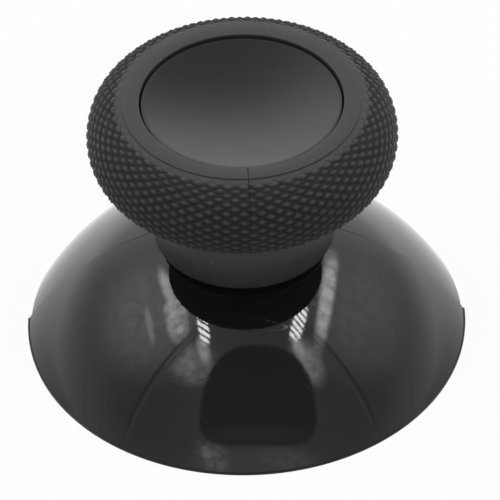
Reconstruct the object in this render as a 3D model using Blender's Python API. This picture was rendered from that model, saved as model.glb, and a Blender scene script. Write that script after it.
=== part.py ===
# Thumbstick cap in its own frame: the flat rim stands on z = 0 and the stick's axis is Z.
# It is moulded in two shots: a hard body, and a soft grip ring bonded round the body's head.
# Outlines are lists of (radius, height) pairs, turned round Z.

import math

import bmesh
import bpy
from mathutils import Vector
from mathutils.geometry import interpolate_bezier

MM = 0.001

# Skirt: a shallow dome, part of a sphere, with a narrow rim at its foot
SKIRT_RADIUS = 12.5 * MM
DOME_RADIUS = 14.1 * MM
SKIRT_WALL = 1.0 * MM
RIM_WALL_HEIGHT = 0.13 * MM
RIM_LEDGE = 0.12 * MM
RIM_CHAMFER = 0.05 * MM

# Neck: the dome bends up a little towards a shelf, where the grip ring begins
NECK_START_RADIUS = 7.0 * MM
NECK_TOP_RADIUS = 5.0 * MM
NECK_BEND_RADIUS = 18.5 * MM
NECK_STEP = 0.09 * MM

# Heights of the head, stacked on the shelf
CUP_HEIGHT = 4.5 * MM
TYRE_LOWER_HEIGHT = 2.33 * MM
TYRE_UPPER_HEIGHT = 2.56 * MM

# Radii of the head: the tyre's is over the points of its knurling
CUP_RADIUS = 7.3 * MM
TYRE_FOOT_RADIUS = 7.38 * MM
TYRE_RADIUS = 8.68 * MM
LAND_RADIUS = 6.55 * MM
DISH_RADIUS = 5.6 * MM

# How the head's outline bends between those heights
CUP_BULGE = 0.2 * MM
COLLAR_OVERHANG = 0.07 * MM
TYRE_TOP_PULL = 1.3 * MM
TYRE_SHOULDER_PULL = 1.4 * MM
TYRE_FLANK_PULL = 0.95 * MM
TYRE_FOOT_ANGLE = math.radians(42.0)
LAND_STEP = 0.1 * MM
DISH_STEP = 0.17 * MM
DISH_SAG = 0.58 * MM
DISH_EDGE_ROUND = 0.12 * MM

# Bond between the two shots: how far the soft ring covers the hard core
STEM_RADIUS = 4.3 * MM
STEM_HEIGHT = 0.8 * MM
RING_WALL = 0.95 * MM
LAND_THICKNESS = 0.8 * MM
BOND_GAP = 0.05 * MM

# Knurling: staggered rows of small diamonds
KNURL_COUNT = 54
KNURL_ROW_PITCH = 0.262 * MM
KNURL_DEPTH = 0.17 * MM
KNURL_END_SHARE = 0.6

# Underside: a boss with a blind double-D socket, and thin ribs out to the dome
BOSS_RADIUS = 2.95 * MM
BOSS_RECESS = 0.9 * MM
BOSS_ROOT_FILLET = 0.5 * MM
SOCKET_RADIUS = 2.05 * MM
SOCKET_FLATS = 3.1 * MM
SOCKET_DEPTH = 7.0 * MM
SOCKET_LEAD = 0.18 * MM
RIB_COUNT = 4
RIB_THICKNESS = 0.7 * MM
RIB_REACH = 7.0 * MM
RIB_BOSS_HEIGHT = 2.3 * MM

BODY_SEGMENTS = 64
DOME_STEPS = 7
NECK_STEPS = 4
CUP_STEPS = 4
DISH_STEPS = 5
EDGE_STEPS = 3
BEZIER_STEPS = 24
CUTTER_OVERRUN = 1.0 * MM
MERGE_DISTANCE = 0.001 * MM

# Places that follow from the sizes above
DOME_FOOT_RADIUS = SKIRT_RADIUS - RIM_LEDGE
DOME_CENTRE_Z = RIM_WALL_HEIGHT - math.sqrt(DOME_RADIUS ** 2 - DOME_FOOT_RADIUS ** 2)
NECK_START_ANGLE = math.asin(NECK_START_RADIUS / DOME_RADIUS)
BEND_REACH = DOME_RADIUS + NECK_BEND_RADIUS
BEND_CENTRE_R = BEND_REACH * math.sin(NECK_START_ANGLE)
BEND_CENTRE_Z = DOME_CENTRE_Z + BEND_REACH * math.cos(NECK_START_ANGLE)
NECK_TOP_ANGLE = math.asin((BEND_CENTRE_R - NECK_TOP_RADIUS) / NECK_BEND_RADIUS)
SHELF_Z = BEND_CENTRE_Z - NECK_BEND_RADIUS * math.cos(NECK_TOP_ANGLE) + NECK_STEP
COLLAR_Z = SHELF_Z + BOND_GAP
CUP_TOP_Z = COLLAR_Z + CUP_HEIGHT
TYRE_Z = CUP_TOP_Z + TYRE_LOWER_HEIGHT
LAND_Z = TYRE_Z + TYRE_UPPER_HEIGHT
DISH_EDGE_Z = LAND_Z - DISH_STEP
TYRE_ROOT_RADIUS = TYRE_RADIUS - KNURL_DEPTH


def arc(centre, radius, start, end, steps):
    """Points on a circle, with angles measured from +Z towards +R."""
    points = []
    for step in range(steps + 1):
        angle = start + (end - start) * step / steps
        points.append((centre[0] + radius * math.sin(angle), centre[1] + radius * math.cos(angle)))
    return points


def bow(start, end, sag, steps):
    """A circular arc between two points that swings to the left of the way by sag."""
    a, b = Vector(start), Vector(end)
    half = (b - a).length / 2
    radius = (half ** 2 + sag ** 2) / (2 * abs(sag))
    side = Vector((a.y - b.y, b.x - a.x)).normalized() * math.copysign(1, sag)
    centre = (a + b) / 2 + side * (abs(sag) - radius)
    spread = math.asin(min(1.0, half / radius))
    along = (b - a).normalized()
    points = []
    for step in range(steps + 1):
        angle = spread * (2 * step / steps - 1)
        point = centre + side * radius * math.cos(angle) + along * radius * math.sin(angle)
        points.append((point.x, point.y))
    return points


def bezier(start, start_handle, end_handle, end):
    curve = interpolate_bezier(Vector(start), Vector(start_handle), Vector(end_handle), Vector(end),
                               BEZIER_STEPS)
    return [(point.x, point.y) for point in curve]


def evenly_spaced(points, pitch):
    """The same line with its points about one pitch apart."""
    spots = [Vector(point) for point in points]
    lengths = [(b - a).length for a, b in zip(spots, spots[1:])]
    total = sum(lengths)
    count = max(2, round(total / pitch))
    result = []
    for index in range(count + 1):
        distance = total * index / count
        piece = 0
        while piece < len(lengths) - 1 and distance > lengths[piece]:
            distance -= lengths[piece]
            piece += 1
        point = spots[piece].lerp(spots[piece + 1], min(1.0, distance / lengths[piece]))
        result.append((point.x, point.y))
    return result


def offset_line(points, distance):
    """The line moved to its left by distance, with mitred corners."""
    spots = [Vector(point) for point in points]
    sides = [Vector((a.y - b.y, b.x - a.x)).normalized() for a, b in zip(spots, spots[1:])]
    result = []
    for index, spot in enumerate(spots):
        before = sides[max(0, index - 1)]
        after = sides[min(len(sides) - 1, index)]
        mitre = (before + after).normalized()
        moved = spot + mitre * (distance / mitre.dot(after))
        result.append((moved.x, moved.y))
    return result


def inner_dome_height(radius):
    return DOME_CENTRE_Z + math.sqrt((DOME_RADIUS - SKIRT_WALL) ** 2 - radius ** 2)


def skirt_underside():
    """From the boss's end, up into the hollow and down the dome's inner face to the rim."""
    inner_radius = DOME_RADIUS - SKIRT_WALL
    root_radius = BOSS_RADIUS + BOSS_ROOT_FILLET
    root_height = inner_dome_height(root_radius)
    root = bow((BOSS_RADIUS, root_height - BOSS_ROOT_FILLET), (root_radius, root_height),
               0.2 * BOSS_ROOT_FILLET, 2)
    start = math.asin(root_radius / inner_radius)
    end = math.acos(-DOME_CENTRE_Z / inner_radius)
    hollow = arc((0.0, DOME_CENTRE_Z), inner_radius, start, end, DOME_STEPS)
    return [(0.0, BOSS_RECESS), (BOSS_RADIUS, BOSS_RECESS)] + root[:-1] + hollow


def skirt_outside():
    """From the rim's flat foot, over its ledge and up the dome to the neck's shelf."""
    foot_angle = math.asin(DOME_FOOT_RADIUS / DOME_RADIUS)
    dome = arc((0.0, DOME_CENTRE_Z), DOME_RADIUS, foot_angle, NECK_START_ANGLE, DOME_STEPS)
    bend = arc((BEND_CENTRE_R, BEND_CENTRE_Z), -NECK_BEND_RADIUS, NECK_START_ANGLE, NECK_TOP_ANGLE,
               NECK_STEPS)
    rim = [(SKIRT_RADIUS - RIM_CHAMFER, 0.0), (SKIRT_RADIUS, RIM_CHAMFER),
           (SKIRT_RADIUS, RIM_WALL_HEIGHT)]
    return rim + dome + bend[1:] + [(NECK_TOP_RADIUS, SHELF_Z)]


def bond_line():
    """The soft ring's inner face, from its collar up the stem, round the core and under the land."""
    return [
        (STEM_RADIUS, COLLAR_Z),
        (STEM_RADIUS, COLLAR_Z + STEM_HEIGHT),
        (CUP_RADIUS - RING_WALL, CUP_TOP_Z),
        (TYRE_ROOT_RADIUS - RING_WALL, TYRE_Z),
        (LAND_RADIUS, LAND_Z - LAND_THICKNESS),
        (DISH_RADIUS, LAND_Z - LAND_THICKNESS),
        (DISH_RADIUS, LAND_Z),
    ]


def body_outline():
    core = offset_line(bond_line(), BOND_GAP)
    core[0] = (core[0][0], SHELF_Z)
    edge_foot_z = DISH_EDGE_Z - DISH_EDGE_ROUND
    core[-1] = (core[-1][0], edge_foot_z)
    reach = core[-1][0] - DISH_EDGE_ROUND
    edge = arc((reach, edge_foot_z), DISH_EDGE_ROUND, math.pi / 2, 0.0, EDGE_STEPS)
    dish_radius = (reach ** 2 + DISH_SAG ** 2) / (2 * DISH_SAG)
    dish_centre = (0.0, DISH_EDGE_Z - DISH_SAG + dish_radius)
    edge_angle = math.asin(reach / dish_radius)
    dish = arc(dish_centre, -dish_radius, -edge_angle, 0.0, DISH_STEPS)
    return skirt_underside() + skirt_outside() + core + edge[1:] + dish[1:]


def tyre_line():
    """The roots of the knurling, from beside the land round the tyre to the top of the cup."""
    top = Vector((LAND_RADIUS, LAND_Z - LAND_STEP))
    widest = Vector((TYRE_ROOT_RADIUS, TYRE_Z))
    foot = Vector((TYRE_FOOT_RADIUS, CUP_TOP_Z))
    foot_way = Vector((math.sin(TYRE_FOOT_ANGLE), math.cos(TYRE_FOOT_ANGLE)))
    upper = bezier(top, top + Vector((TYRE_TOP_PULL, 0)), widest + Vector((0, TYRE_SHOULDER_PULL)),
                   widest)
    lower = bezier(widest, widest - Vector((0, TYRE_FLANK_PULL)), foot + foot_way * TYRE_FLANK_PULL,
                   foot)
    return evenly_spaced(upper + lower[1:], KNURL_ROW_PITCH)


def ring_outline():
    """The outer line of the ring below and above the knurling, and the bond line inside."""
    collar = (NECK_TOP_RADIUS + COLLAR_OVERHANG, COLLAR_Z)
    cup = bow((CUP_RADIUS, CUP_TOP_Z), collar, CUP_BULGE, CUP_STEPS)
    return cup + bond_line() + [(LAND_RADIUS, LAND_Z)]


def material(name, colour, roughness, coat):
    made = bpy.data.materials.new(name)
    made.use_nodes = True
    shader = made.node_tree.nodes["Principled BSDF"]
    shader.inputs["Base Color"].default_value = (*colour, 1.0)
    shader.inputs["Roughness"].default_value = roughness
    shader.inputs["Metallic"].default_value = 0.0
    shader.inputs["Coat Weight"].default_value = coat
    return made


def turn(mesh_data, segments):
    """Turn the outline in the mesh a full round about Z and close it."""
    bmesh.ops.spin(mesh_data, geom=mesh_data.verts[:] + mesh_data.edges[:], cent=(0, 0, 0),
                   axis=(0, 0, 1), angle=math.tau, steps=segments, use_merge=True)
    bmesh.ops.remove_doubles(mesh_data, verts=mesh_data.verts[:], dist=MERGE_DISTANCE)


def draw_line(mesh_data, points, closed):
    corners = [mesh_data.verts.new((radius, 0.0, height)) for radius, height in points]
    edges = [mesh_data.edges.new(pair) for pair in zip(corners, corners[1:])]
    if closed:
        edges.append(mesh_data.edges.new((corners[-1], corners[0])))
    return corners


def finish(mesh_data, name, sharp_angle, surface):
    """Make the mesh an object with its faces pointing out."""
    bmesh.ops.recalc_face_normals(mesh_data, faces=mesh_data.faces[:])
    mesh = bpy.data.meshes.new(name)
    mesh_data.to_mesh(mesh)
    mesh_data.free()
    mesh.shade_smooth()
    mesh.set_sharp_from_angle(angle=sharp_angle)
    mesh.materials.append(surface)
    made = bpy.data.objects.new(name, mesh)
    bpy.context.scene.collection.objects.link(made)
    return made


def as_tool(tool):
    tool.hide_render = True
    tool.display_type = 'WIRE'
    return tool


def extrude_outline(mesh_data, points, travel):
    """A prism from a closed outline of 3D points."""
    face = mesh_data.faces.new([mesh_data.verts.new(point) for point in points])
    grown = bmesh.ops.extrude_face_region(mesh_data, geom=[face])
    moved = [item for item in grown["geom"] if isinstance(item, bmesh.types.BMVert)]
    bmesh.ops.translate(mesh_data, vec=travel, verts=moved)


def loft(mesh_data, sections):
    """A closed solid through sections that have the same number of 3D points."""
    rings = [[mesh_data.verts.new(point) for point in section] for section in sections]
    for low, high in zip(rings, rings[1:]):
        for index in range(len(low)):
            after = (index + 1) % len(low)
            mesh_data.faces.new((low[index], low[after], high[after], high[index]))
    mesh_data.faces.new(rings[0])
    mesh_data.faces.new(rings[-1])


def socket_section(height, growth):
    """A circle with two opposite flats, grown outwards all round by growth."""
    radius = SOCKET_RADIUS + growth
    corner = math.asin(min(1.0, (SOCKET_FLATS / 2 + growth) / radius))
    angles = []
    for middle in (0.0, math.pi):
        angles += [middle + corner * share / 4 for share in range(-4, 5)]
    return [(radius * math.cos(angle), radius * math.sin(angle), height) for angle in angles]


def socket_tool():
    """A blind hole with two flats, whose mouth opens out at 45 degrees to lead the post in."""
    mesh_data = bmesh.new()
    loft(mesh_data, [
        socket_section(BOSS_RECESS - CUTTER_OVERRUN, SOCKET_LEAD + CUTTER_OVERRUN),
        socket_section(BOSS_RECESS + SOCKET_LEAD, 0.0),
        socket_section(BOSS_RECESS + SOCKET_DEPTH, 0.0),
    ])
    return as_tool(finish(mesh_data, "socket_tool", math.radians(30), None))


def rib_tool(index):
    """A thin gusset between the boss and the dome, sunk into both."""
    inside = (BOSS_RADIUS + SOCKET_RADIUS) / 2
    sunk = SKIRT_WALL / 2
    foot = BOSS_RECESS + RIB_BOSS_HEIGHT
    side_view = [
        (inside, foot),
        (RIB_REACH, inner_dome_height(RIB_REACH) + sunk / 2),
        (RIB_REACH, inner_dome_height(RIB_REACH) + sunk),
        (inside, inner_dome_height(inside) + sunk),
    ]
    angle = math.tau * (index + 0.5) / RIB_COUNT
    outward = Vector((math.cos(angle), math.sin(angle), 0))
    across = Vector((-math.sin(angle), math.cos(angle), 0)) * RIB_THICKNESS
    points = [outward * radius + Vector((0, 0, height)) - across / 2 for radius, height in side_view]
    mesh_data = bmesh.new()
    extrude_outline(mesh_data, points, across)
    return as_tool(finish(mesh_data, f"rib_tool_{index + 1}", math.radians(30), None))


def combine(target, tool, operation):
    step = target.modifiers.new(f"{operation.lower()} {tool.name}", 'BOOLEAN')
    step.operation = operation
    step.solver = 'EXACT'
    step.object = tool


def build_body():
    mesh_data = bmesh.new()
    draw_line(mesh_data, body_outline(), False)
    turn(mesh_data, BODY_SEGMENTS)
    surface = material("gloss_black_plastic", (0.012, 0.012, 0.013), 0.16, 0.3)
    body = finish(mesh_data, "cap_body", math.radians(30), surface)
    for index in range(RIB_COUNT):
        combine(body, rib_tool(index), 'UNION')
    combine(body, socket_tool(), 'DIFFERENCE')
    return body


def raise_diamonds(mesh_data, row_layer, row_count):
    """Lift every other root of the lattice outwards and crease the diamonds between the rest."""
    column_angle = math.pi / KNURL_COUNT
    mesh_data.normal_update()
    points, lifts = set(), {}
    for vertex in mesh_data.verts:
        row = vertex[row_layer]
        column = round(math.atan2(vertex.co.y, vertex.co.x) / column_angle)
        if row <= 1 or row >= row_count or (row + column) % 2:
            continue
        at_end = row in (2, row_count - 1)
        lifts[vertex] = vertex.normal * KNURL_DEPTH * (KNURL_END_SHARE if at_end else 1.0)
    for face in [face for face in mesh_data.faces if all(v[row_layer] for v in face.verts)]:
        roots = [v for v in face.verts if v not in lifts]
        peaks = [v for v in face.verts if v in lifts]
        if len(peaks) == 2:
            bmesh.utils.face_split(face, roots[0], roots[1])
        elif len(peaks) == 1:
            opposite = [v for v in roots if not any(peaks[0] in e.verts for e in v.link_edges)]
            beside = [v for v in roots if v not in opposite]
            bmesh.utils.face_split(face, beside[0], beside[1])
    for vertex, lift in lifts.items():
        vertex.co += lift


def build_ring():
    """One closed turned section, whose tyre is a lattice of small four-sided points."""
    mesh_data = bmesh.new()
    row_layer = mesh_data.verts.layers.int.new("knurl_row")
    tyre = tyre_line()
    corners = draw_line(mesh_data, tyre + ring_outline(), True)
    for row, corner in enumerate(corners[:len(tyre)], start=1):
        corner[row_layer] = row
    turn(mesh_data, 2 * KNURL_COUNT)
    bmesh.ops.recalc_face_normals(mesh_data, faces=mesh_data.faces[:])
    raise_diamonds(mesh_data, row_layer, len(tyre))
    surface = material("soft_grip_black", (0.022, 0.022, 0.022), 0.62, 0.0)
    return finish(mesh_data, "grip_ring", math.radians(18), surface)


for old in list(bpy.data.objects):
    bpy.data.objects.remove(old, do_unlink=True)

build_body()
build_ring()
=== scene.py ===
import math

import bmesh
import bpy
from mathutils import Matrix, Vector
from mathutils.geometry import interpolate_bezier


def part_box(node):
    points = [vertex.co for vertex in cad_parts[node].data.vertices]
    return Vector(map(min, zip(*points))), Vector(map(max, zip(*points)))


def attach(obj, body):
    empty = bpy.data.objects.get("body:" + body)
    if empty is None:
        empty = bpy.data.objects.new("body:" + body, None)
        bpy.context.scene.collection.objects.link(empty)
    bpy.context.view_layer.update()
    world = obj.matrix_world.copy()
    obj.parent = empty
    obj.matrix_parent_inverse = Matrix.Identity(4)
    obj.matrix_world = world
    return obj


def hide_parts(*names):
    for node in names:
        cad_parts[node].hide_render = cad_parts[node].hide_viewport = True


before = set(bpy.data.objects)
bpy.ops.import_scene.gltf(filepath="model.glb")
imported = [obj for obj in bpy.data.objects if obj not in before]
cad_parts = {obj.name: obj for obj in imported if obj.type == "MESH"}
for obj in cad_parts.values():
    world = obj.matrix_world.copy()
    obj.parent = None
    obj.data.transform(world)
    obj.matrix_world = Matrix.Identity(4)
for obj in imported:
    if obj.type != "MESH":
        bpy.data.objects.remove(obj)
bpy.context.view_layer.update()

mm = 0.001
bodyLow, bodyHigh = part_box("cap_body")
ringLow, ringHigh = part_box("grip_ring")
print("frame loaded:", ", ".join(sorted(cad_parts)))


# Outlines are lists of (radius, height) pairs, turned round Z further down

def arcPoints(centre, radius, startAngle, endAngle, steps):
    # angles run from +Z towards +R
    points = []
    for step in range(steps + 1):
        angle = startAngle + (endAngle - startAngle) * step / steps
        points.append((centre[0] + radius * math.sin(angle), centre[1] + radius * math.cos(angle)))
    return points


def bowPoints(start, end, sag, steps):
    # an arc between two points that swings to the left of the way by sag
    a, b = Vector(start), Vector(end)
    half = (b - a).length / 2
    radius = (half ** 2 + sag ** 2) / (2 * sag)
    left = Vector((a.y - b.y, b.x - a.x)).normalized()
    centre = (a + b) / 2 + left * (sag - radius)
    halfAngle = math.asin(half / radius)
    along = (b - a).normalized()
    points = []
    for step in range(steps + 1):
        angle = halfAngle * (2 * step / steps - 1)
        outward = left * math.cos(angle) + along * math.sin(angle)
        points.append(tuple(centre + outward * radius))
    return points


def roundCorner(before, corner, after, radius, steps):
    # swaps a corner for a small arc that starts and ends one radius away from it
    corner = Vector(corner)
    start = corner + (Vector(before) - corner).normalized() * radius
    end = corner + (Vector(after) - corner).normalized() * radius
    weight = 0.55
    curve = interpolate_bezier(start, start.lerp(corner, weight), end.lerp(corner, weight), end,
                               steps + 1)
    return [tuple(point)[:2] for point in curve]


def roundedLine(points, radii, steps=4):
    # a line with some of its corners rounded: radii holds {point number: radius}
    result = []
    for number, point in enumerate(points):
        if number in radii:
            result += roundCorner(points[number - 1], point, points[(number + 1) % len(points)],
                                  radii[number], steps)
        else:
            result.append(point)
    return result


def evenlySpaced(points, count):
    spots = [Vector(point) for point in points]
    lengths = [(b - a).length for a, b in zip(spots, spots[1:])]
    total = sum(lengths)
    result = []
    for index in range(count + 1):
        distance = total * index / count
        piece = 0
        while piece < len(lengths) - 1 and distance > lengths[piece]:
            distance -= lengths[piece]
            piece += 1
        share = min(1.0, distance / lengths[piece])
        result.append(tuple(spots[piece].lerp(spots[piece + 1], share)))
    return result


def offsetLine(points, distance):
    # the line moved to its left, with mitred corners
    spots = [Vector(point) for point in points]
    sides = [Vector((a.y - b.y, b.x - a.x)).normalized() for a, b in zip(spots, spots[1:])]
    result = []
    for index, spot in enumerate(spots):
        before = sides[max(0, index - 1)]
        after = sides[min(len(sides) - 1, index)]
        mitre = (before + after).normalized()
        result.append(tuple(spot + mitre * (distance / mitre.dot(after))))
    return result


def drawOutline(mesh, outline, closed):
    corners = [mesh.verts.new((radius, 0, height)) for radius, height in outline]
    for pair in zip(corners, corners[1:]):
        mesh.edges.new(pair)
    if closed:
        mesh.edges.new((corners[-1], corners[0]))
    return corners


def turnAll(mesh, segments):
    # the outline goes a full round about Z
    bmesh.ops.spin(mesh, geom=mesh.verts[:] + mesh.edges[:], cent=(0, 0, 0), axis=(0, 0, 1),
                   angle=math.tau, steps=segments, use_merge=True)
    bmesh.ops.remove_doubles(mesh, verts=mesh.verts[:], dist=0.0005 * mm)
    bmesh.ops.recalc_face_normals(mesh, faces=mesh.faces[:])


def withBorders(faces):
    # the faces with their edges and corners, each once and always in the same order
    edges = dict.fromkeys(edge for face in faces for edge in face.edges)
    corners = dict.fromkeys(vertex for face in faces for vertex in face.verts)
    return faces + list(edges) + list(corners)


def makeObject(mesh, name, sharpAngle):
    data = bpy.data.meshes.new(name)
    mesh.to_mesh(data)
    mesh.free()
    data.shade_smooth()
    data.set_sharp_from_angle(angle=math.radians(sharpAngle))
    made = bpy.data.objects.new(name, data)
    bpy.context.scene.collection.objects.link(made)
    return made


# The head's section, which the hard core and the soft ring share

head = {
    "stemRadius": 4.3 * mm,
    "collarRadius": 5.07 * mm,
    "barrelRadius": 5.25 * mm,
    "barrelBulge": 0.03 * mm,
    "barrelHeight": 4.79 * mm,
    "barrelFillet": 0.4 * mm,
    "footRadius": 6.96 * mm,
    "lowerHeight": 2.08 * mm,
    "upperHeight": 2.52 * mm,
    "tipInset": 0.08 * mm,
    "landRadius": 6.55 * mm,
    "landThickness": 0.8 * mm,
    "landStep": 0.06 * mm,
    "dishRadius": 5.6 * mm,
    "ringWall": 0.9 * mm,
    "bondGap": 0.05 * mm,
    "knurlDepth": 0.18 * mm,
}
collarZ = ringLow.z
undersideZ = collarZ + head["barrelHeight"]
tyreZ = undersideZ + head["lowerHeight"]
landZ = tyreZ + head["upperHeight"]
tyreRadius = (ringHigh.x - ringLow.x) / 2 - head["tipInset"]


def bondLine():
    # the soft ring's inner face, from its collar up to the land
    underLandZ = landZ - head["landThickness"]
    shelfAboveUnderside = undersideZ + head["ringWall"]
    return [
        (head["stemRadius"], collarZ),
        (head["stemRadius"], shelfAboveUnderside),
        (head["footRadius"] - head["ringWall"] / 2, shelfAboveUnderside),
        (tyreRadius - head["knurlDepth"] - head["ringWall"], tyreZ),
        (head["landRadius"], underLandZ),
        (head["dishRadius"], underLandZ),
        (head["dishRadius"], landZ),
    ]


# Hard shell: skirt, neck, core and dish in one moulding

shell = {
    "segments": 256,
    "sharpAngle": 30,
    "domeRadius": 14.1 * mm,
    "wall": 1.0 * mm,
    "rimHeight": 0.13 * mm,
    "rimLedge": 0.12 * mm,
    "rimChamfer": 0.05 * mm,
    "rimEdgeRound": 0.02 * mm,
    "ledgeRound": 0.03 * mm,
    "frontFlare": 0.05 * mm,
    "backShrink": 0.12 * mm,
    "shrinkZone": 2.4 * mm,
    "neckRadius": 4.5 * mm,
    "neckFillet": 0.3 * mm,
    "shelfGap": 0.05 * mm,
    "bossRadius": 2.95 * mm,
    "bossRecess": 0.9 * mm,
    "bossRootFillet": 0.5 * mm,
    "bossEdgeRound": 0.08 * mm,
    "socketRadius": 2.05 * mm,
    "socketFlats": 3.1 * mm,
    "socketDepth": 7.0 * mm,
    "socketLead": 0.18 * mm,
    "ribCount": 4,
    "ribThickness": 0.7 * mm,
    "ribReach": 7.0 * mm,
    "ribBossHeight": 2.3 * mm,
    "dishSag": 0.58 * mm,
    "dishEdgeRound": 0.12 * mm,
    "partingY": 0.45 * mm,
    "partingHalfWidth": 0.018 * mm,
    "partingDepth": 0.045 * mm,
}
skirtRadius = (bodyHigh.x - bodyLow.x) / 2
dishEdgeZ = bodyHigh.z
domeFootRadius = skirtRadius - shell["rimLedge"]
domeCentreZ = shell["rimHeight"] - math.sqrt(shell["domeRadius"] ** 2 - domeFootRadius ** 2)
filletReach = shell["domeRadius"] + shell["neckFillet"]
filletR = shell["neckRadius"] + shell["neckFillet"]
neckAngle = math.asin(filletR / filletReach)
filletZ = domeCentreZ + filletReach * math.cos(neckAngle)
domeTopZ = domeCentreZ + shell["domeRadius"] * math.cos(neckAngle)
shelfZ = collarZ - shell["shelfGap"]
socketTopZ = shell["bossRecess"] + shell["socketDepth"]


def innerDomeZ(radius):
    return domeCentreZ + math.sqrt((shell["domeRadius"] - shell["wall"]) ** 2 - radius ** 2)


def underside():
    # from the socket's blind end, out of its mouth, round the boss and down the hollow dome
    bossZ = shell["bossRecess"]
    lead = shell["socketLead"]
    rootRadius = shell["bossRadius"] + shell["bossRootFillet"]
    boss = roundedLine([
        (0, socketTopZ),
        (shell["socketRadius"], socketTopZ),
        (shell["socketRadius"], bossZ + lead),
        (shell["socketRadius"] + lead, bossZ),
        (shell["bossRadius"], bossZ),
        (shell["bossRadius"], innerDomeZ(rootRadius)),
    ], {4: shell["bossEdgeRound"]})[:-1]
    root = bowPoints((shell["bossRadius"], innerDomeZ(rootRadius) - shell["bossRootFillet"]),
                     (rootRadius, innerDomeZ(rootRadius)), 0.2 * shell["bossRootFillet"], 6)
    innerRadius = shell["domeRadius"] - shell["wall"]
    hollow = arcPoints((0, domeCentreZ), innerRadius, math.asin(rootRadius / innerRadius),
                       math.acos(-domeCentreZ / innerRadius), 24)
    return boss + root[:-1] + hollow


def outside():
    # from the rim's flat foot over its ledge, up the dome and on to the neck's shelf
    rim = roundedLine([
        (skirtRadius - shell["rimChamfer"] * 2, 0),
        (skirtRadius - shell["rimChamfer"], 0),
        (skirtRadius, shell["rimChamfer"]),
        (skirtRadius, shell["rimHeight"]),
        (domeFootRadius, shell["rimHeight"]),
    ], {2: shell["rimEdgeRound"], 3: shell["ledgeRound"]})[1:-1]
    dome = arcPoints((0, domeCentreZ), shell["domeRadius"], math.asin(domeFootRadius / shell["domeRadius"]),
                     neckAngle, 36)
    fillet = arcPoints((filletR, filletZ), -shell["neckFillet"], neckAngle, math.pi / 2, 8)
    return rim + dome + fillet[1:] + [(shell["neckRadius"], shelfZ)]


def coreAndDish():
    # up the hidden core, then over the dish's rounded edge to its middle
    core = offsetLine(bondLine(), head["bondGap"])
    core[0] = (core[0][0], shelfZ)
    core[-1] = (core[-1][0], dishEdgeZ)
    reach = core[-1][0] - shell["dishEdgeRound"]
    sag = shell["dishSag"]
    bendRadius = (reach ** 2 + sag ** 2) / (2 * sag)
    edgeAngle = math.asin(reach / bendRadius)
    dish = arcPoints((0, dishEdgeZ - sag + bendRadius), -bendRadius, -edgeAngle, 0, 24)
    return roundedLine(core + [dish[0]], {len(core) - 1: shell["dishEdgeRound"] * 0.98})[:-1] + dish


def pressSocketFlats(mesh):
    # the round hole's wall is pushed in to two flats that face +Y and -Y
    mouthRadius = shell["socketRadius"] + shell["socketLead"]
    for vertex in mesh.verts:
        radius = vertex.co.xy.length
        if radius > mouthRadius + 0.01 * mm or vertex.co.z > socketTopZ + mm:
            continue
        limit = shell["socketFlats"] / 2 + max(0, radius - shell["socketRadius"])
        vertex.co.y = max(-limit, min(limit, vertex.co.y))


def cutPartingLine(mesh, skirtLayer):
    # the mould's two halves meet in a line down both sides of the skirt
    halfWidth = shell["partingHalfWidth"]
    for shift in (-2, -1, 1, 2):
        faces = [face for face in mesh.faces if all(vertex[skirtLayer] > 0.5 for vertex in face.verts)]
        bmesh.ops.bisect_plane(mesh, geom=withBorders(faces), dist=0.001 * mm,
                               plane_co=(0, shell["partingY"] + shift * halfWidth, 0), plane_no=(0, 1, 0))


def fitMouldHalves(mesh, skirtLayer):
    # the front half flares out to the rim, and the back half is a little smaller and has no ledge
    for vertex in mesh.verts:
        height = vertex.co.z
        if vertex[skirtLayer] < 0.5 or height > domeTopZ:
            continue
        radius = vertex.co.xy.length
        across = vertex.co.y - shell["partingY"]
        if across < 0:
            target = min(radius + shell["frontFlare"] * (1 - height / domeTopZ), skirtRadius)
        else:
            domeHere = math.sqrt(shell["domeRadius"] ** 2 - (height - domeCentreZ) ** 2)
            shrink = shell["backShrink"] * min(1, (domeTopZ - height) / shell["shrinkZone"])
            target = min(radius, domeHere) - shrink
        if abs(across) < shell["partingHalfWidth"] * 1.5:
            target -= shell["partingDepth"]
        vertex.co.x *= target / radius
        vertex.co.y *= target / radius


def makeRib(mesh, number):
    # a thin gusset between the boss and the dome, sunk into both
    inside = (shell["bossRadius"] + shell["socketRadius"]) / 2
    sunk = shell["wall"] / 2
    sideView = [
        (inside, shell["bossRecess"] + shell["ribBossHeight"]),
        (shell["ribReach"], innerDomeZ(shell["ribReach"]) + sunk / 2),
        (shell["ribReach"], innerDomeZ(shell["ribReach"]) + sunk),
        (inside, innerDomeZ(inside) + sunk),
    ]
    angle = math.tau * (number + 0.5) / shell["ribCount"]
    outward = Vector((math.cos(angle), math.sin(angle), 0))
    across = Vector((-math.sin(angle), math.cos(angle), 0)) * shell["ribThickness"]
    corners = [mesh.verts.new(outward * radius + Vector((0, 0, height)) - across / 2)
               for radius, height in sideView]
    face = mesh.faces.new(corners)
    grown = bmesh.ops.extrude_face_region(mesh, geom=[face])
    moved = [item for item in grown["geom"] if isinstance(item, bmesh.types.BMVert)]
    bmesh.ops.translate(mesh, vec=across, verts=moved)


def joinRibs(body):
    mesh = bmesh.new()
    for number in range(shell["ribCount"]):
        makeRib(mesh, number)
    bmesh.ops.recalc_face_normals(mesh, faces=mesh.faces[:])
    ribs = makeObject(mesh, "ribs", shell["sharpAngle"])
    union = body.modifiers.new("ribs", 'BOOLEAN')
    union.operation = 'UNION'
    union.object = ribs
    evaluated = body.evaluated_get(bpy.context.evaluated_depsgraph_get())
    joined = bpy.data.meshes.new_from_object(evaluated)
    body.modifiers.clear()
    body.data = joined
    bpy.data.objects.remove(ribs, do_unlink=True)


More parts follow.
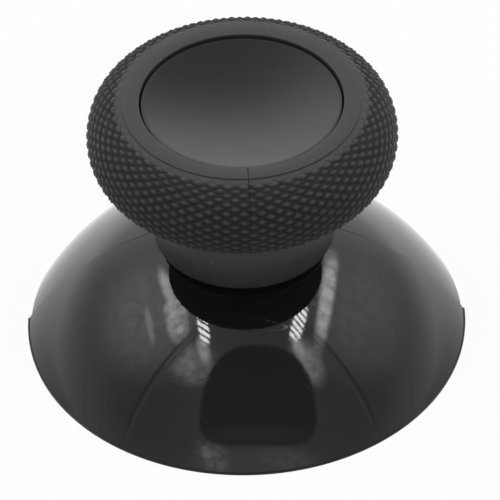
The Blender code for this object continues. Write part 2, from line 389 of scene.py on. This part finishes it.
def makeShell():
    mesh = bmesh.new()
    skirtLayer = mesh.verts.layers.float.new("skirt")
    hidden = underside()
    skirt = outside()
    corners = drawOutline(mesh, hidden + skirt + coreAndDish(), False)
    for corner in corners[len(hidden):len(hidden) + len(skirt) - 1]:
        corner[skirtLayer] = 1
    turnAll(mesh, shell["segments"])
    pressSocketFlats(mesh)
    cutPartingLine(mesh, skirtLayer)
    fitMouldHalves(mesh, skirtLayer)
    for face in mesh.faces:
        middle = face.calc_center_median()
        if middle.z > dishEdgeZ - mm and middle.xy.length < head["dishRadius"] - head["bondGap"]:
            face.material_index = 1
    made = makeObject(mesh, "shell", shell["sharpAngle"])
    joinRibs(made)
    return made


# Soft grip: the ring with its barrel, knurled tyre and plain land

grip = {
    "sharpAngle": 60,
    "knurlCount": 54,
    "columnsPerPitch": 10,
    "rowCount": 25,
    "stepsPerRow": 4,
    "topPull": 1.3 * mm,
    "shoulderPull": 1.4 * mm,
    "flankPull": 0.68 * mm,
    "footPull": 1.23 * mm,
    "footAngle": math.radians(89),
    "ridgeShare": 0.3,
    "pointShare": 0.94,
    "fadeStart": 1.15,
    "landFadeRows": 2.2,
    "footFadeRows": 2,
    "collarRound": 0.07 * mm,
    "landInnerRound": 0.07 * mm,
    "landOuterRound": 0.035 * mm,
    "partingAngle": math.radians(-87.5),
    "partingHalfWidth": 0.03 * mm,
    "partingDepth": 0.05 * mm,
    "partingLowZ": 14.6 * mm,
    "partingSearch": 0.4 * mm,
}


def tyreLine():
    # the points of the knurling, from beside the land round the tyre to its flat underside
    top = Vector((head["landRadius"], landZ - head["landStep"]))
    widest = Vector((tyreRadius, tyreZ))
    foot = Vector((head["footRadius"], undersideZ))
    footWay = Vector((math.sin(grip["footAngle"]), math.cos(grip["footAngle"])))
    upper = interpolate_bezier(top, top + Vector((grip["topPull"], 0)),
                               widest + Vector((0, grip["shoulderPull"])), widest, 60)
    lower = interpolate_bezier(widest, widest - Vector((0, grip["flankPull"])),
                               foot + footWay * grip["footPull"], foot, 60)
    points = [tuple(point)[:2] for point in upper + lower[1:]]
    return evenlySpaced(points, grip["rowCount"] * grip["stepsPerRow"])


def gripOutline():
    # the rest of the ring's section, in to the barrel, down to its collar and up inside
    fillet = head["barrelFillet"]
    corner = (head["barrelRadius"], undersideZ)
    barrelTop = (head["barrelRadius"], undersideZ - fillet)
    root = roundCorner((head["footRadius"], undersideZ), corner, barrelTop, fillet, 6)
    barrel = bowPoints(barrelTop, (head["collarRadius"], collarZ), head["barrelBulge"], 18)
    inner = bondLine()
    lowest = [barrel[-2], barrel[-1], inner[0]]
    collar = roundCorner(*lowest, grip["collarRound"], 4)
    land = roundedLine([inner[-2], inner[-1], (head["landRadius"], landZ),
                        (head["landRadius"], landZ - head["landStep"])],
                       {1: grip["landInnerRound"], 2: grip["landOuterRound"]})[1:-1]
    return root + barrel[1:-1] + collar + inner[:-1] + land


def knurlShare(across, row):
    # 1 on a diamond's point, low in the grooves between diamonds and 0 where two grooves cross
    def tent(place):
        return 1 - 2 * abs(place - round(place))

    first = tent((across + row) / 2)
    second = tent((across - row) / 2)
    ridge = grip["ridgeShare"] * (first + second) / 2
    pyramid = (1 - grip["ridgeShare"]) * min(first, second)
    return min(1, (ridge + pyramid) / grip["pointShare"])


def cutKnurl(mesh, rowLayer, pitLayer):
    # near the land and the underside only the deepest pits are left
    columnAngle = math.pi / grip["knurlCount"]
    lastRow = grip["rowCount"] + 1
    mesh.normal_update()
    moves = []
    for vertex in mesh.verts:
        row = vertex[rowLayer]
        if row < 1:
            continue
        angle = math.atan2(vertex.co.y, vertex.co.x)
        belowLand = max(0, (row - grip["fadeStart"]) / grip["landFadeRows"])
        aboveFoot = max(0, (lastRow - row) / grip["footFadeRows"])
        reach = min(1, belowLand, aboveFoot)
        cut = max(0, reach - knurlShare(angle / columnAngle, row))
        moves.append((vertex, vertex.normal * head["knurlDepth"] * cut))
        vertex[pitLayer] = cut
    for vertex, move in moves:
        vertex.co -= move


def cutGripParting(mesh, topLayer):
    # the ring's mould leaves a fine groove across the land and the upper knurling at the front
    angle = grip["partingAngle"]
    along = Vector((math.cos(angle), math.sin(angle), 0))
    across = Vector((-along.y, along.x, 0))
    halfWidth = grip["partingHalfWidth"]
    near = [face for face in mesh.faces
            if face.calc_center_median().dot(along) > 0
            and abs(face.calc_center_median().dot(across)) < grip["partingSearch"]
            and all(vertex[topLayer] > 0.5 for vertex in face.verts)]
    for shift in (-1, 0, 1):
        near = [face for face in near if face.is_valid]
        cut = bmesh.ops.bisect_plane(mesh, geom=withBorders(near), dist=0.0005 * mm,
                                     plane_co=across * shift * halfWidth, plane_no=across)
        near = [item for item in cut["geom"] if isinstance(item, bmesh.types.BMFace)]
    mesh.normal_update()
    moves = []
    for face in near:
        for vertex in face.verts:
            if abs(vertex.co.dot(across)) < halfWidth / 2 and vertex.co.z > grip["partingLowZ"]:
                moves.append(vertex)
    for vertex in dict.fromkeys(moves):
        vertex.co -= vertex.normal * grip["partingDepth"]


def makeGrip():
    mesh = bmesh.new()
    rowLayer = mesh.verts.layers.float.new("knurlRow")
    topLayer = mesh.verts.layers.float.new("top")
    pitLayer = mesh.verts.layers.float.new("pit")
    tyre = tyreLine()
    corners = drawOutline(mesh, tyre + gripOutline(), True)
    for index, corner in enumerate(corners[:len(tyre)]):
        corner[rowLayer] = 1 + index / grip["stepsPerRow"]
        corner[topLayer] = 1
    landCorners = 10      # the points of the land's two rounded edges
    for corner in corners[-landCorners:]:
        corner[topLayer] = 1
    turnAll(mesh, grip["knurlCount"] * grip["columnsPerPitch"])
    cutKnurl(mesh, rowLayer, pitLayer)
    cutGripParting(mesh, topLayer)
    return makeObject(mesh, "grip", grip["sharpAngle"])


# Node helpers

def newGroup(name, inputs, outputs):
    group = bpy.data.node_groups.new(name, 'ShaderNodeTree')
    for label, kind, value in inputs:
        socket = group.interface.new_socket(name=label, in_out='INPUT', socket_type=kind)
        if value is not None:
            socket.default_value = value
    for label, kind in outputs:
        group.interface.new_socket(name=label, in_out='OUTPUT', socket_type=kind)
    return group, group.nodes.new('NodeGroupInput').outputs, group.nodes.new('NodeGroupOutput').inputs


def put(tree, socket, value):
    # a number, or another node's output, goes into the socket
    if isinstance(value, bpy.types.NodeSocket):
        tree.links.new(value, socket)
    else:
        socket.default_value = value


def calc(tree, operation, *values):
    node = tree.nodes.new('ShaderNodeMath')
    node.operation = operation
    for socket, value in zip(node.inputs, values):
        put(tree, socket, value)
    return node.outputs[0]


def spread(tree, value, fromLow, fromHigh, toLow, toHigh, smooth=False):
    node = tree.nodes.new('ShaderNodeMapRange')
    node.interpolation_type = 'SMOOTHSTEP' if smooth else 'LINEAR'
    places = (value, fromLow, fromHigh, toLow, toHigh)
    for label, given in zip(("Value", "From Min", "From Max", "To Min", "To Max"), places):
        put(tree, node.inputs[label], given)
    return node.outputs[0]


def blend(tree, factor, first, second):
    node = tree.nodes.new('ShaderNodeMix')
    put(tree, node.inputs[0], factor)
    put(tree, node.inputs[2], first)
    put(tree, node.inputs[3], second)
    return node.outputs[0]


def blendColour(tree, factor, first, second):
    node = tree.nodes.new('ShaderNodeMix')
    node.data_type = 'RGBA'
    put(tree, node.inputs[0], factor)
    put(tree, node.inputs[6], first)
    put(tree, node.inputs[7], second)
    return node.outputs[2]


def noise(tree, position, scale, detail=2.0, roughness=0.5):
    node = tree.nodes.new('ShaderNodeTexNoise')
    put(tree, node.inputs["Vector"], position)
    put(tree, node.inputs["Scale"], scale)
    put(tree, node.inputs["Detail"], detail)
    put(tree, node.inputs["Roughness"], roughness)
    return node.outputs["Fac"]


def useGroup(tree, group, **values):
    node = tree.nodes.new('ShaderNodeGroup')
    node.node_tree = group
    for label, value in values.items():
        put(tree, node.inputs[label], value)
    return node.outputs


def bumped(tree, height, distance, strength=1.0):
    node = tree.nodes.new('ShaderNodeBump')
    node.inputs["Strength"].default_value = strength
    node.inputs["Distance"].default_value = distance
    tree.links.new(height, node.inputs["Height"])
    return node.outputs["Normal"]


# Effects that several materials share

def makeSurfaceGrain():
    # fine moulded texture with a slow unevenness under it
    group, given, result = newGroup("surfaceGrain", [
        ("Position", 'NodeSocketVector', None),
        ("Fineness", 'NodeSocketFloat', 9000.0),
    ], [("Height", 'NodeSocketFloat'), ("Unevenness", 'NodeSocketFloat')])
    fine = noise(group, given["Position"], given["Fineness"], 3.0, 0.6)
    slow = noise(group, given["Position"], calc(group, 'MULTIPLY', given["Fineness"], 0.06), 2.0)
    put(group, result["Height"], blend(group, 0.25, fine, slow))
    put(group, result["Unevenness"], slow)
    return group


def makeDust():
    # scattered specks: few cells of a random pattern hold one, each of its own size
    group, given, result = newGroup("dust", [
        ("Position", 'NodeSocketVector', None),
        ("Cells", 'NodeSocketFloat', 700.0),
        ("Share", 'NodeSocketFloat', 0.05),
    ], [("Mask", 'NodeSocketFloat')])
    cells = group.nodes.new('ShaderNodeTexVoronoi')
    put(group, cells.inputs["Vector"], given["Position"])
    put(group, cells.inputs["Scale"], given["Cells"])
    parts = group.nodes.new('ShaderNodeSeparateColor')
    put(group, parts.inputs[0], cells.outputs["Color"])
    held = calc(group, 'LESS_THAN', parts.outputs["Red"], given["Share"])
    size = spread(group, parts.outputs["Green"], 0.0, 1.0, 0.02, 0.075)
    speck = calc(group, 'LESS_THAN', cells.outputs["Distance"], size)
    put(group, result["Mask"], calc(group, 'MULTIPLY', held, speck))
    return group


def makeHairlines():
    # thin curved scratches in two directions, broken up by a slow pattern
    group, given, result = newGroup("hairlines", [
        ("Position", 'NodeSocketVector', None),
    ], [("Mask", 'NodeSocketFloat')])
    lines = []
    for turn in (0.5, 2.1):
        place = group.nodes.new('ShaderNodeMapping')
        place.inputs["Rotation"].default_value = (0.3, 0.2, turn)
        place.inputs["Scale"].default_value = (60, 420, 420)
        put(group, place.inputs["Vector"], given["Position"])
        pattern = noise(group, place.outputs[0], 1.0, 1.0)
        offMiddle = calc(group, 'ABSOLUTE', calc(group, 'SUBTRACT', pattern, 0.5))
        lines.append(calc(group, 'LESS_THAN', offMiddle, 0.0022))
    broken = calc(group, 'GREATER_THAN', noise(group, given["Position"], 500.0, 1.0), 0.6)
    both = calc(group, 'MAXIMUM', lines[0], lines[1])
    put(group, result["Mask"], calc(group, 'MULTIPLY', both, broken))
    return group


surfaceGrain = makeSurfaceGrain()
dust = makeDust()
hairlines = makeHairlines()


# Materials

looks = {
    "plasticColour": (0.008, 0.008, 0.0085, 1),
    "dishColour": (0.026, 0.026, 0.027, 1),
    "rubberColour": (0.026, 0.026, 0.0265, 1),
    "rubberShade": (0.02, 0.02, 0.0205, 1),
    # painted shade for the shadowed grooves of the knurling
    "pitPaintedShade": (0.007, 0.007, 0.007, 1),
    "dustColour": (0.22, 0.21, 0.2, 1),
    "ringPitch": 0.11 * mm,
    "plasticRoughness": (0.03, 0.05),
    "scratchRoughness": 0.3,
    "dishRoughness": (0.34, 0.42),
    "rubberRoughness": (0.44, 0.54),
    "barrelSmoother": 0.24,
    "pitRoughness": 0.8,
    "dustRoughness": 0.7,
}


def newMaterial(name):
    made = bpy.data.materials.new(name)
    made.use_nodes = True
    tree = made.node_tree
    place = tree.nodes.new('ShaderNodeTexCoord').outputs["Object"]
    return made, tree, tree.nodes["Principled BSDF"].inputs, place


def glossPlastic():
    made, tree, surface, place = newMaterial("glossPlastic")
    grain = useGroup(tree, surfaceGrain, Position=place, Fineness=2600.0)
    specks = useGroup(tree, dust, Position=place, Cells=900.0, Share=0.035)["Mask"]
    scratches = useGroup(tree, hairlines, Position=place)["Mask"]
    put(tree, surface["Base Color"], blendColour(tree, calc(tree, 'MULTIPLY', specks, 0.6),
                                                 looks["plasticColour"], looks["dustColour"]))
    rough = spread(tree, grain["Unevenness"], 0.3, 0.7, *looks["plasticRoughness"])
    rough = blend(tree, calc(tree, 'MULTIPLY', scratches, 0.5), rough, looks["scratchRoughness"])
    put(tree, surface["Roughness"], blend(tree, specks, rough, looks["dustRoughness"]))
    height = calc(tree, 'SUBTRACT', grain["Height"], calc(tree, 'MULTIPLY', scratches, 0.5))
    put(tree, surface["Normal"], bumped(tree, height, 0.0016 * mm))
    return made


def turnedPlastic():
    # the dish is matt, with fine rings that draw its reflections out across them
    made, tree, surface, place = newMaterial("turnedPlastic")
    grain = useGroup(tree, surfaceGrain, Position=place, Fineness=11000.0)
    specks = useGroup(tree, dust, Position=place, Cells=1500.0, Share=0.1)["Mask"]
    rings = tree.nodes.new('ShaderNodeTexWave')
    rings.wave_type = 'RINGS'
    rings.rings_direction = 'Z'
    rings.inputs["Scale"].default_value = 0.314 / looks["ringPitch"]      # at scale 1 a ring is 0.314 wide
    rings.inputs["Distortion"].default_value = 0.6
    rings.inputs["Detail"].default_value = 1.0
    put(tree, rings.inputs["Vector"], place)
    colour = blendColour(tree, spread(tree, grain["Height"], 0.35, 0.65, 0.0, 1.0), looks["dishColour"],
                         tuple(part * 1.35 for part in looks["dishColour"][:3]) + (1,))
    put(tree, surface["Base Color"], blendColour(tree, calc(tree, 'MULTIPLY', specks, 0.5), colour,
                                                 looks["dustColour"]))
    rough = spread(tree, rings.outputs["Fac"], 0.0, 1.0, *looks["dishRoughness"])
    put(tree, surface["Roughness"], rough)
    surface["Anisotropic"].default_value = 0.7
    surface["Anisotropic Rotation"].default_value = 0.25
    tangent = tree.nodes.new('ShaderNodeTangent')
    tangent.direction_type = 'RADIAL'
    tangent.axis = 'Z'
    put(tree, surface["Tangent"], tangent.outputs[0])
    height = calc(tree, 'ADD', calc(tree, 'MULTIPLY', rings.outputs["Fac"], 0.5), grain["Height"])
    put(tree, surface["Normal"], bumped(tree, height, 0.0025 * mm))
    return made


def softRubber():
    made, tree, surface, place = newMaterial("softRubber")
    grain = useGroup(tree, surfaceGrain, Position=place, Fineness=9000.0)
    specks = useGroup(tree, dust, Position=place, Cells=1100.0, Share=0.05)["Mask"]
    colour = blendColour(tree, spread(tree, grain["Height"], 0.35, 0.65, 0.0, 1.0), looks["rubberShade"],
                         looks["rubberColour"])
    # painted shade: the base colour is darkened in the knurl's pits, where the grooves lie in shadow; the
    # same mask makes the pits rougher
    pits = tree.nodes.new('ShaderNodeAttribute')
    pits.attribute_name = "pit"
    depth = spread(tree, pits.outputs["Fac"], 0.12, 0.65, 0.0, 1.0, smooth=True)
    colour = blendColour(tree, depth, colour, looks["pitPaintedShade"])
    put(tree, surface["Base Color"], blendColour(tree, calc(tree, 'MULTIPLY', specks, 0.35), colour,
                                                 looks["dustColour"]))
    # the barrel below the tyre comes off a smoother part of the mould
    height = tree.nodes.new('ShaderNodeSeparateXYZ')
    put(tree, height.inputs[0], place)
    smoother = spread(tree, height.outputs["Z"], undersideZ - 0.3 * mm, undersideZ,
                      looks["barrelSmoother"], 0.0)
    rough = spread(tree, grain["Unevenness"], 0.3, 0.7, *looks["rubberRoughness"])
    rough = calc(tree, 'SUBTRACT', rough, smoother)
    put(tree, surface["Roughness"], blend(tree, depth, rough, looks["pitRoughness"]))
    put(tree, surface["Normal"], bumped(tree, grain["Height"], 0.006 * mm))
    return made


# Studio: what the glossy skirt mirrors is painted on the world, in the plane of a map of the sky
# whose middle is straight above, whose horizon is the circle of radius 1, and whose top is the back

studio = {
    "fillLevel": 0.5,
    "lampLevel": 0.65,
    "floorShare": 0.93,
    "floorCorner": 0.6,
    "floorSide": 0.85,
    "floorBack": 1.75,
    "floorHole": 11.0 * mm,
    "floorRadius": 6,
    "floorSegments": 96,
    "floorDrop": 0.01 * mm,
    "floorColour": (0.92, 0.92, 0.92, 1),
    "lampAzimuth": 92,
    "lampElevation": 64,
    "lampDistance": 0.45,
    "lampSize": 0.28,
    "stripeCount": 210,
    "stripeGap": -0.35,
    "cloudScale": 22,
    "horizonStart": 0.72,
}

# name: middle, half size, turn in degrees, taper, squareness, softness, level, cloudiness
skyPatches = {
    "cornerLeft": ((-0.56, -0.36), (0.34, 0.24), 28, 0, 2, 0.7, 0.42, 0.2),
    "cornerRight": ((0.56, -0.36), (0.34, 0.24), -28, 0, 2, 0.7, 0.42, 0.2),
    "backWall": ((0.0, 0.64), (0.42, 0.26), 0, 0, 2, 0.6, 1.5, 0.1),
    "haloLeft": ((-0.38, 0.1), (0.19, 0.24), 0, 0, 2, 0.7, 1.9, 0.35),
    "haloRight": ((0.42, 0.12), (0.2, 0.26), 0, 0, 2, 0.7, 1.4, 0.35),
    "roof": ((0.08, 0.1), (0.17, 0.36), 0, 0, 3, 0.5, 0.5, 0.0),
    "highBandLeft": ((-0.292, 0.17), (0.09, 0.018), -82, 0, 2, 0.6, 6.0, 0.3),
    "bandLeft": ((-0.27, 0.01), (0.1, 0.042), 90, 0, 3, 0.35, 6.3, 0.7),
    "streakLeft": ((-0.387, 0.025), (0.08, 0.013), 90, 0, 2, 0.6, 3.4, 0.3),
    "bandRight": ((0.303, 0.1), (0.205, 0.026), 88, 0, 3, 0.5, 7.5, 0.5),
    "lobeLeft": ((-0.235, -0.215), (0.085, 0.07), -30, 0, 2, 0.7, 2.9, 0.6),
    "lobeRight": ((0.262, -0.212), (0.09, 0.05), -52, 0, 2, 0.6, 3.1, 0.5),
    "tailLeft": ((-0.178, -0.165), (0.05, 0.022), -82, 0, 2, 0.6, 5.5, 0.4),
    "tailRight": ((0.207, -0.155), (0.05, 0.02), -68, 0, 2, 0.6, 5.5, 0.4),
    "seamLeft": ((-0.5, -0.26), (0.295, 0.008), 32, 0, 4, 0.7, 0.28, 0.0),
    "seamRight": ((0.54, -0.255), (0.275, 0.008), -33, 0, 4, 0.7, 0.28, 0.0),
    "seamGlowLeft": ((-0.488, -0.279), (0.295, 0.007), 32, 0, 4, 0.7, 0.62, 0.0),
    "seamGlowRight": ((0.528, -0.274), (0.275, 0.007), -33, 0, 4, 0.7, 0.62, 0.0),
    "frontFloor": ((0.0, -0.76), (0.5, 0.11), 0, 0, 2, 0.6, 0.78, 0.3),
    "cloudLeft": ((-0.22, -0.68), (0.1, 0.06), -60, 0, 2, 0.8, 2.1, 0.8),
    "cloudRight": ((0.22, -0.71), (0.14, 0.05), 0, 0, 2, 0.8, 1.15, 0.8),
    "wallGlow": ((0.58, 0.0), (0.07, 0.07), 0, 0, 2, 0.9, 1.0, 0.3),
    "camera": ((0.05, -0.4), (0.276, 0.235), 0, -0.3, 3, 0.05, 0.16, 0.0),
    "cameraFoot": ((0.03, -0.575), (0.26, 0.045), 0, 0, 2, 0.8, 0.3, 0.0),
}
# the same for the two small striped lamps
lampPatches = {
    "lampLeft": ((-0.168, -0.073), (0.068, 0.02), -86, 0, 4, 0.2, 18, 0.0),
    "lampRight": ((0.201, -0.05), (0.078, 0.024), 80, 0, 4, 0.2, 18, 0.0),
}


def makeSkyPatch():
    # a mask for one soft patch of the sky's map
    group, given, result = newGroup("skyPatch", [
        ("Across", 'NodeSocketFloat', 0.0),
        ("Back", 'NodeSocketFloat', 0.0),
        ("Middle across", 'NodeSocketFloat', 0.0),
        ("Middle back", 'NodeSocketFloat', 0.0),
        ("Half width", 'NodeSocketFloat', 0.1),
        ("Half height", 'NodeSocketFloat', 0.1),
        ("Turn", 'NodeSocketFloat', 0.0),
        ("Taper", 'NodeSocketFloat', 0.0),
        ("Squareness", 'NodeSocketFloat', 2.0),
        ("Softness", 'NodeSocketFloat', 0.3),
        ("Cloud", 'NodeSocketFloat', 1.0),
    ], [("Mask", 'NodeSocketFloat')])
    across = calc(group, 'SUBTRACT', given["Across"], given["Middle across"])
    back = calc(group, 'SUBTRACT', given["Back"], given["Middle back"])
    cosine = calc(group, 'COSINE', given["Turn"])
    sine = calc(group, 'SINE', given["Turn"])
    along = calc(group, 'ADD', calc(group, 'MULTIPLY', across, cosine),
                 calc(group, 'MULTIPLY', back, sine))
    aside = calc(group, 'SUBTRACT', calc(group, 'MULTIPLY', back, cosine),
                 calc(group, 'MULTIPLY', across, sine))
    high = calc(group, 'DIVIDE', aside, given["Half height"])
    reach = calc(group, 'MULTIPLY_ADD', high, given["Taper"], 1.0)
    wide = calc(group, 'DIVIDE', along, calc(group, 'MULTIPLY', given["Half width"], reach))
    powers = [calc(group, 'POWER', calc(group, 'ABSOLUTE', part), given["Squareness"])
              for part in (wide, high)]
    root = calc(group, 'DIVIDE', 1.0, given["Squareness"])
    rooted = calc(group, 'POWER', calc(group, 'ADD', *powers), root)
    inner = calc(group, 'SUBTRACT', 1.0, given["Softness"])
    outer = calc(group, 'ADD', 1.0, given["Softness"])
    mask = spread(group, rooted, inner, outer, 1.0, 0.0, smooth=True)
    put(group, result["Mask"], calc(group, 'MULTIPLY', mask, given["Cloud"]))
    return group


def patchMask(tree, group, across, back, patch, clouds):
    middle, half, turn, taper, squareness, softness, level, cloudiness = patch
    cloud = spread(tree, clouds, 0.36, 0.62, 1 - cloudiness, 1.0) if cloudiness else 1.0
    values = {
        "Across": across, "Back": back, "Middle across": middle[0], "Middle back": middle[1],
        "Half width": half[0], "Half height": half[1], "Turn": math.radians(turn), "Taper": taper,
        "Squareness": squareness, "Softness": softness, "Cloud": cloud,
    }
    return useGroup(tree, group, **values)["Mask"]


def horizonLevel(tree, back):
    # what is mirrored at the horizon, where the floor and the sky meet
    front = spread(tree, back, -0.5, 0.0, studio["floorCorner"], studio["floorSide"])
    behind = spread(tree, back, 0.0, 1.0, 0.0, studio["floorBack"] - studio["floorSide"])
    return calc(tree, 'ADD', front, behind)


def paintSky(tree):
    # the level of the light that a glossy surface mirrors from each direction
    parts = tree.nodes.new('ShaderNodeSeparateXYZ')
    put(tree, parts.inputs[0], tree.nodes.new('ShaderNodeTexCoord').outputs["Generated"])
    under = calc(tree, 'ADD', calc(tree, 'MAXIMUM', parts.outputs["Z"], -0.9), 1.0)
    across = calc(tree, 'DIVIDE', parts.outputs["X"], under)
    back = calc(tree, 'DIVIDE', parts.outputs["Y"], under)
    flat = tree.nodes.new('ShaderNodeCombineXYZ')
    put(tree, flat.inputs["X"], across)
    put(tree, flat.inputs["Y"], back)
    clouds = noise(tree, flat.outputs[0], studio["cloudScale"], 4.0, 0.6)
    group = makeSkyPatch()
    level = spread(tree, back, -0.5, 0.6, 0.55, 0.88)
    for patch in skyPatches.values():
        level = blend(tree, patchMask(tree, group, across, back, patch, clouds), level, patch[6])
    length = tree.nodes.new('ShaderNodeVectorMath')
    length.operation = 'LENGTH'
    put(tree, length.inputs[0], flat.outputs[0])
    nearHorizon = spread(tree, length.outputs["Value"], studio["horizonStart"], 1.0, 0.0, 1.0, smooth=True)
    level = blend(tree, nearHorizon, level, horizonLevel(tree, back))
    diagonal = calc(tree, 'ADD', across, back)
    stripes = calc(tree, 'SINE', calc(tree, 'MULTIPLY', diagonal, studio["stripeCount"]))
    lit = calc(tree, 'GREATER_THAN', stripes, studio["stripeGap"])
    for patch in lampPatches.values():
        mask = patchMask(tree, group, across, back, patch, clouds)
        level = blend(tree, calc(tree, 'MULTIPLY', mask, lit), level, patch[6])
    return level


def makeWorld():
    world = bpy.data.worlds.new("studioWorld")
    bpy.context.scene.world = world
    world.use_nodes = True
    tree = world.node_tree
    sky = tree.nodes["Background"]
    sky.inputs["Color"].default_value = (1, 1, 1, 1)
    path = tree.nodes.new('ShaderNodeLightPath').outputs
    level = blend(tree, path["Is Glossy Ray"], studio["fillLevel"], paintSky(tree))
    put(tree, sky.inputs["Strength"], blend(tree, path["Is Camera Ray"], level, 1.0))


def makeFloor():
    # white to the camera with a faint shadow, open under the cap and from below
    mesh = bmesh.new()
    segments = studio["floorSegments"]
    bmesh.ops.create_circle(mesh, segments=segments, radius=studio["floorRadius"])
    rim = mesh.edges[:]
    bmesh.ops.create_circle(mesh, segments=segments, radius=studio["floorHole"])
    bmesh.ops.bridge_loops(mesh, edges=rim + [edge for edge in mesh.edges if edge not in rim])
    bmesh.ops.translate(mesh, vec=(0, 0, -studio["floorDrop"]), verts=mesh.verts[:])
    for face in mesh.faces:
        if face.normal.z < 0:
            face.normal_flip()
    floor = makeObject(mesh, "floor", 30)
    made, tree, surface, place = newMaterial("paleFloor")
    surface["Base Color"].default_value = studio["floorColour"]
    surface["Roughness"].default_value = 0.8
    surface["Specular IOR Level"].default_value = 0.1
    path = tree.nodes.new('ShaderNodeLightPath').outputs
    parts = tree.nodes.new('ShaderNodeSeparateXYZ')
    way = tree.nodes.new('ShaderNodeVectorMath')
    way.operation = 'NORMALIZE'
    put(tree, way.inputs[0], place)
    put(tree, parts.inputs[0], way.outputs[0])
    mirrored = horizonLevel(tree, parts.outputs["Y"])
    glow = tree.nodes.new('ShaderNodeEmission')
    put(tree, glow.inputs["Strength"], blend(tree, path["Is Glossy Ray"], 1.0, mirrored))
    share = calc(tree, 'MULTIPLY', path["Is Camera Ray"], studio["floorShare"])
    share = calc(tree, 'MAXIMUM', share, path["Is Glossy Ray"])
    lit = tree.nodes.new('ShaderNodeMixShader')
    put(tree, lit.inputs["Fac"], share)
    put(tree, lit.inputs[1], tree.nodes["Principled BSDF"].outputs[0])
    put(tree, lit.inputs[2], glow.outputs[0])
    clear = tree.nodes.new('ShaderNodeBsdfTransparent')
    sided = tree.nodes.new('ShaderNodeMixShader')
    put(tree, sided.inputs["Fac"], tree.nodes.new('ShaderNodeNewGeometry').outputs["Backfacing"])
    put(tree, sided.inputs[1], lit.outputs[0])
    put(tree, sided.inputs[2], clear.outputs[0])
    put(tree, tree.nodes["Material Output"].inputs["Surface"], sided.outputs[0])
    floor.data.materials.append(made)


def addLamp(name, azimuth, elevation, distance, size, power):
    # a soft lamp aimed at the cap: azimuth 0 is behind it, and 90 on its right
    azimuth, elevation = math.radians(azimuth), math.radians(elevation)
    outward = Vector((math.sin(azimuth) * math.cos(elevation), math.cos(azimuth) * math.cos(elevation),
                      math.sin(elevation)))
    data = bpy.data.lights.new(name, 'AREA')
    data.size = size
    data.energy = power
    lamp = bpy.data.objects.new(name, data)
    lamp.location = outward * distance
    lamp.rotation_euler = outward.to_track_quat('Z', 'Y').to_euler()
    lamp.visible_glossy = False
    bpy.context.scene.collection.objects.link(lamp)


def makeLamps():
    for name, side in (("lampLeft", -1), ("lampRight", 1)):
        addLamp(name, side * studio["lampAzimuth"], studio["lampElevation"], studio["lampDistance"],
                studio["lampSize"], studio["lampLevel"])


def makeCamera():
    # the photo's camera, fitted to the outlines of the rim, the collar and the dish
    elevation = math.radians(41.853)
    distance = 230 * mm
    roll = math.radians(1.334)
    pixelsPerMm = 17.885
    aimX, aimY = 244.156, 215.3      # where the point below lands, in the photo's 500 pixels
    aim = Vector((0, 0, 8 * mm))
    back = Vector((0, -math.cos(elevation), math.sin(elevation)))
    right = Vector((1, 0, 0))
    up = back.cross(right)
    rolledRight = right * math.cos(roll) - up * math.sin(roll)
    rolledUp = right * math.sin(roll) + up * math.cos(roll)
    eye = aim + back * distance
    middle = 250
    target = aim + (rolledRight * (middle - aimX) - rolledUp * (middle - aimY)) * mm / pixelsPerMm
    forward = (target - eye).normalized()
    sideways = forward.cross(rolledUp).normalized()
    upright = sideways.cross(forward)
    lens = bpy.data.cameras.new("camera")
    lens.sensor_width = 36
    lens.lens = pixelsPerMm * distance / mm / 500 * lens.sensor_width
    lens.clip_start = 0.01
    camera = bpy.data.objects.new("camera", lens)
    camera.matrix_world = Matrix((sideways, upright, -forward)).transposed().to_4x4()
    camera.location = eye
    bpy.context.scene.collection.objects.link(camera)
    bpy.context.scene.camera = camera


makeCamera()
print("camera placed")

shellPiece = makeShell()
shellPiece.data.materials.clear()
shellPiece.data.materials.append(glossPlastic())
shellPiece.data.materials.append(turnedPlastic())
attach(shellPiece, "root")
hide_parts("cap_body")
print("shell turned:", len(shellPiece.data.polygons), "faces")

gripPiece = makeGrip()
gripPiece.data.materials.append(softRubber())
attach(gripPiece, "root")
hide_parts("grip_ring")
print("grip knurled:", len(gripPiece.data.polygons), "faces")

makeFloor()
makeWorld()
makeLamps()
bpy.context.scene.view_settings.view_transform = 'Standard'
print("studio set up")
